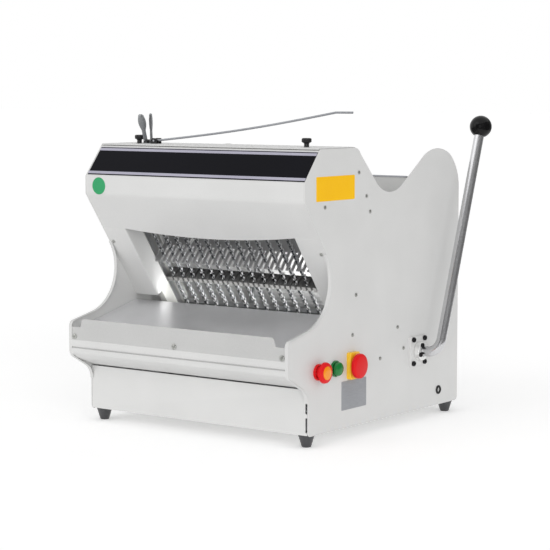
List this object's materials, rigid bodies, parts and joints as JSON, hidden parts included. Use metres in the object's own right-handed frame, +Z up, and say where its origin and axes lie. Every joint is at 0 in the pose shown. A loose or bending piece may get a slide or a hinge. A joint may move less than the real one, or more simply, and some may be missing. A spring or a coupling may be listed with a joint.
{
  "type": "bench bread slicer with feed lever",
  "caption": "Bench bread slicer: reciprocating blade frames behind a leaning hood, a hand lever that swings a pusher comb through them, an outfeed tray and a crumb drawer.",
  "frame": {"origin": "on the bench, at the centre of the four feet", "axes": "+X to the side with the lever and the buttons, +Y to the back, +Z up"},
  "size_m": [0.6164, 0.6174, 0.6241],
  "materials": {
    "painted_sheet": "satin",
    "trim_black": "gloss",
    "brushed_steel": "brushed",
    "blade_steel": "polished",
    "frame_steel": "machined",
    "guide_plastic": "matt",
    "cast_aluminium": "cast",
    "motor_grey": "painted",
    "belt_rubber": "matt",
    "lever_chrome": "polished",
    "black_plastic": "gloss",
    "black_rubber": "matt",
    "dark_steel": "black oxide",
    "collar_black": "matt",
    "stop_red": "gloss",
    "start_green": "gloss",
    "collar_yellow": "gloss"
  },
  "bodies": {
    "case": {"side_panel_right": "painted_sheet", "side_panel_left": "painted_sheet", "front_hood": "painted_sheet", "trim_band": "trim_black", "top_cover": "painted_sheet", "rear_cover": "painted_sheet", "base_plate": "painted_sheet", "outfeed_tray": "brushed_steel", "chute_cheek_right": "brushed_steel", "chute_cheek_left": "brushed_steel", "feed_floor": "brushed_steel", "blade_guide_upper": "guide_plastic", "blade_guide_lower": "guide_plastic", "guide_rail_right": "frame_steel", "guide_rail_left": "frame_steel", "crank_bearings": "cast_aluminium", "motor": "motor_grey", "motor_bracket": "painted_sheet", "drive_belt": "belt_rubber", "lever_bearing": "cast_aluminium", "shaft_bracket": "painted_sheet", "bearing_bolts": "dark_steel", "rubber_feet": "black_rubber", "button_collars": "collar_black", "estop_collar": "collar_yellow", "contact_blocks": "collar_black", "cable_grommet": "black_rubber", "bag_bracket": "brushed_steel", "bag_leaves": "brushed_steel", "panel_screws": "blade_steel", "spacer_posts": "frame_steel", "tie_rods": "frame_steel", "rating_plate": "brushed_steel"},
    "drawer": {"crumb_drawer_front": "painted_sheet", "crumb_drawer_pan": "brushed_steel"},
    "front_frame": {"front_blade_frame": "frame_steel", "front_blades": "blade_steel"},
    "rear_frame": {"rear_blade_frame": "frame_steel", "rear_blades": "blade_steel"},
    "crank": {"crankshaft": "frame_steel", "eccentric_discs": "frame_steel", "crank_pulley": "cast_aluminium"},
    "front_rods": {"front_conrods": "frame_steel"},
    "rear_rods": {"rear_conrods": "frame_steel"},
    "motor_rotor": {"motor_shaft": "frame_steel", "motor_pulley": "cast_aluminium"},
    "lever": {"lever_shaft": "frame_steel", "lever_hub": "cast_aluminium", "hub_screws": "dark_steel", "lever_rod": "lever_chrome", "ball_knob": "black_plastic", "pusher_arms": "brushed_steel", "pusher_comb": "brushed_steel"},
    "stop_button": {"stop_button_head": "stop_red"},
    "start_button": {"start_button_cap": "start_green"},
    "estop_slide": {"estop_stem": "black_plastic"},
    "estop_mushroom": {"estop_head": "stop_red"},
    "wire": {"bag_wire": "blade_steel"},
    "knob_right": {"thumb_knob_right": "black_plastic"},
    "knob_left": {"thumb_knob_left": "black_plastic"}
  },
  "joints": [
    {"name": "lever_swing", "type": "hinge", "parent": "case", "child": "lever", "pos_m": [0, 0.11, 0.1435], "axis": [1, 0, 0], "range_deg": [0, 53]},
    {"name": "front_frame_slide", "type": "slide", "parent": "case", "child": "front_frame", "axis": [0, -0.5779, 0.8161], "range_m": [-0.015, 0.015]},
    {"name": "rear_frame_slide", "type": "slide", "parent": "case", "child": "rear_frame", "axis": [0, -0.5779, 0.8161], "range_m": [-0.015, 0.015]},
    {"name": "crank_spin", "type": "hinge", "parent": "case", "child": "crank", "pos_m": [0, 0.04814, 0.0995], "axis": [1, 0, 0], "continuous": true},
    {"name": "front_conrod_pivot", "type": "hinge", "parent": "crank", "child": "front_rods", "pos_m": [0, 0.0359, 0.09083], "axis": [1, 0, 0], "continuous": true},
    {"name": "rear_conrod_pivot", "type": "hinge", "parent": "crank", "child": "rear_rods", "pos_m": [0, 0.06038, 0.10817], "axis": [1, 0, 0], "continuous": true},
    {"name": "motor_spin", "type": "hinge", "parent": "case", "child": "motor_rotor", "pos_m": [0, 0.199, 0.1005], "axis": [1, 0, 0], "continuous": true},
    {"name": "stop_push", "type": "slide", "parent": "case", "child": "stop_button", "axis": [-1, 0, 0], "range_m": [0, 0.004], "stiffness_N_per_m": 400, "springref_m": -0.001},
    {"name": "start_push", "type": "slide", "parent": "case", "child": "start_button", "axis": [-1, 0, 0], "range_m": [0, 0.004], "stiffness_N_per_m": 400, "springref_m": -0.001},
    {"name": "estop_push", "type": "slide", "parent": "case", "child": "estop_slide", "axis": [-1, 0, 0], "range_m": [0, 0.005]},
    {"name": "estop_twist", "type": "hinge", "parent": "estop_slide", "child": "estop_mushroom", "pos_m": [0.28, -0.1243, 0.1415], "axis": [1, 0, 0], "range_deg": [0, 35], "stiffness_Nm_per_rad": 0.05},
    {"name": "drawer_slide", "type": "slide", "parent": "case", "child": "drawer", "axis": [0, -1, 0], "range_m": [0, 0.2]},
    {"name": "bag_wire_swing", "type": "hinge", "parent": "case", "child": "wire", "pos_m": [-0.162, -0.185, 0.5645], "axis": [0, -1, 0], "range_deg": [0, 80]},
    {"name": "thumb_knob_right_turn", "type": "hinge", "parent": "case", "child": "knob_right", "pos_m": [0.207, -0.185, 0.56], "axis": [0, 0, 1], "continuous": true},
    {"name": "thumb_knob_left_turn", "type": "hinge", "parent": "case", "child": "knob_left", "pos_m": [-0.207, -0.185, 0.56], "axis": [0, 0, 1], "continuous": true}
  ],
  "couplings": [
    {"joint": "rear_frame_slide", "follows": "front_frame_slide", "ratio": -1},
    {"joint": "front_conrod_pivot", "follows": "crank_spin", "ratio": -1},
    {"joint": "rear_conrod_pivot", "follows": "crank_spin", "ratio": -1},
    {"joint": "motor_spin", "follows": "crank_spin", "ratio": 2.3298}
  ]
}
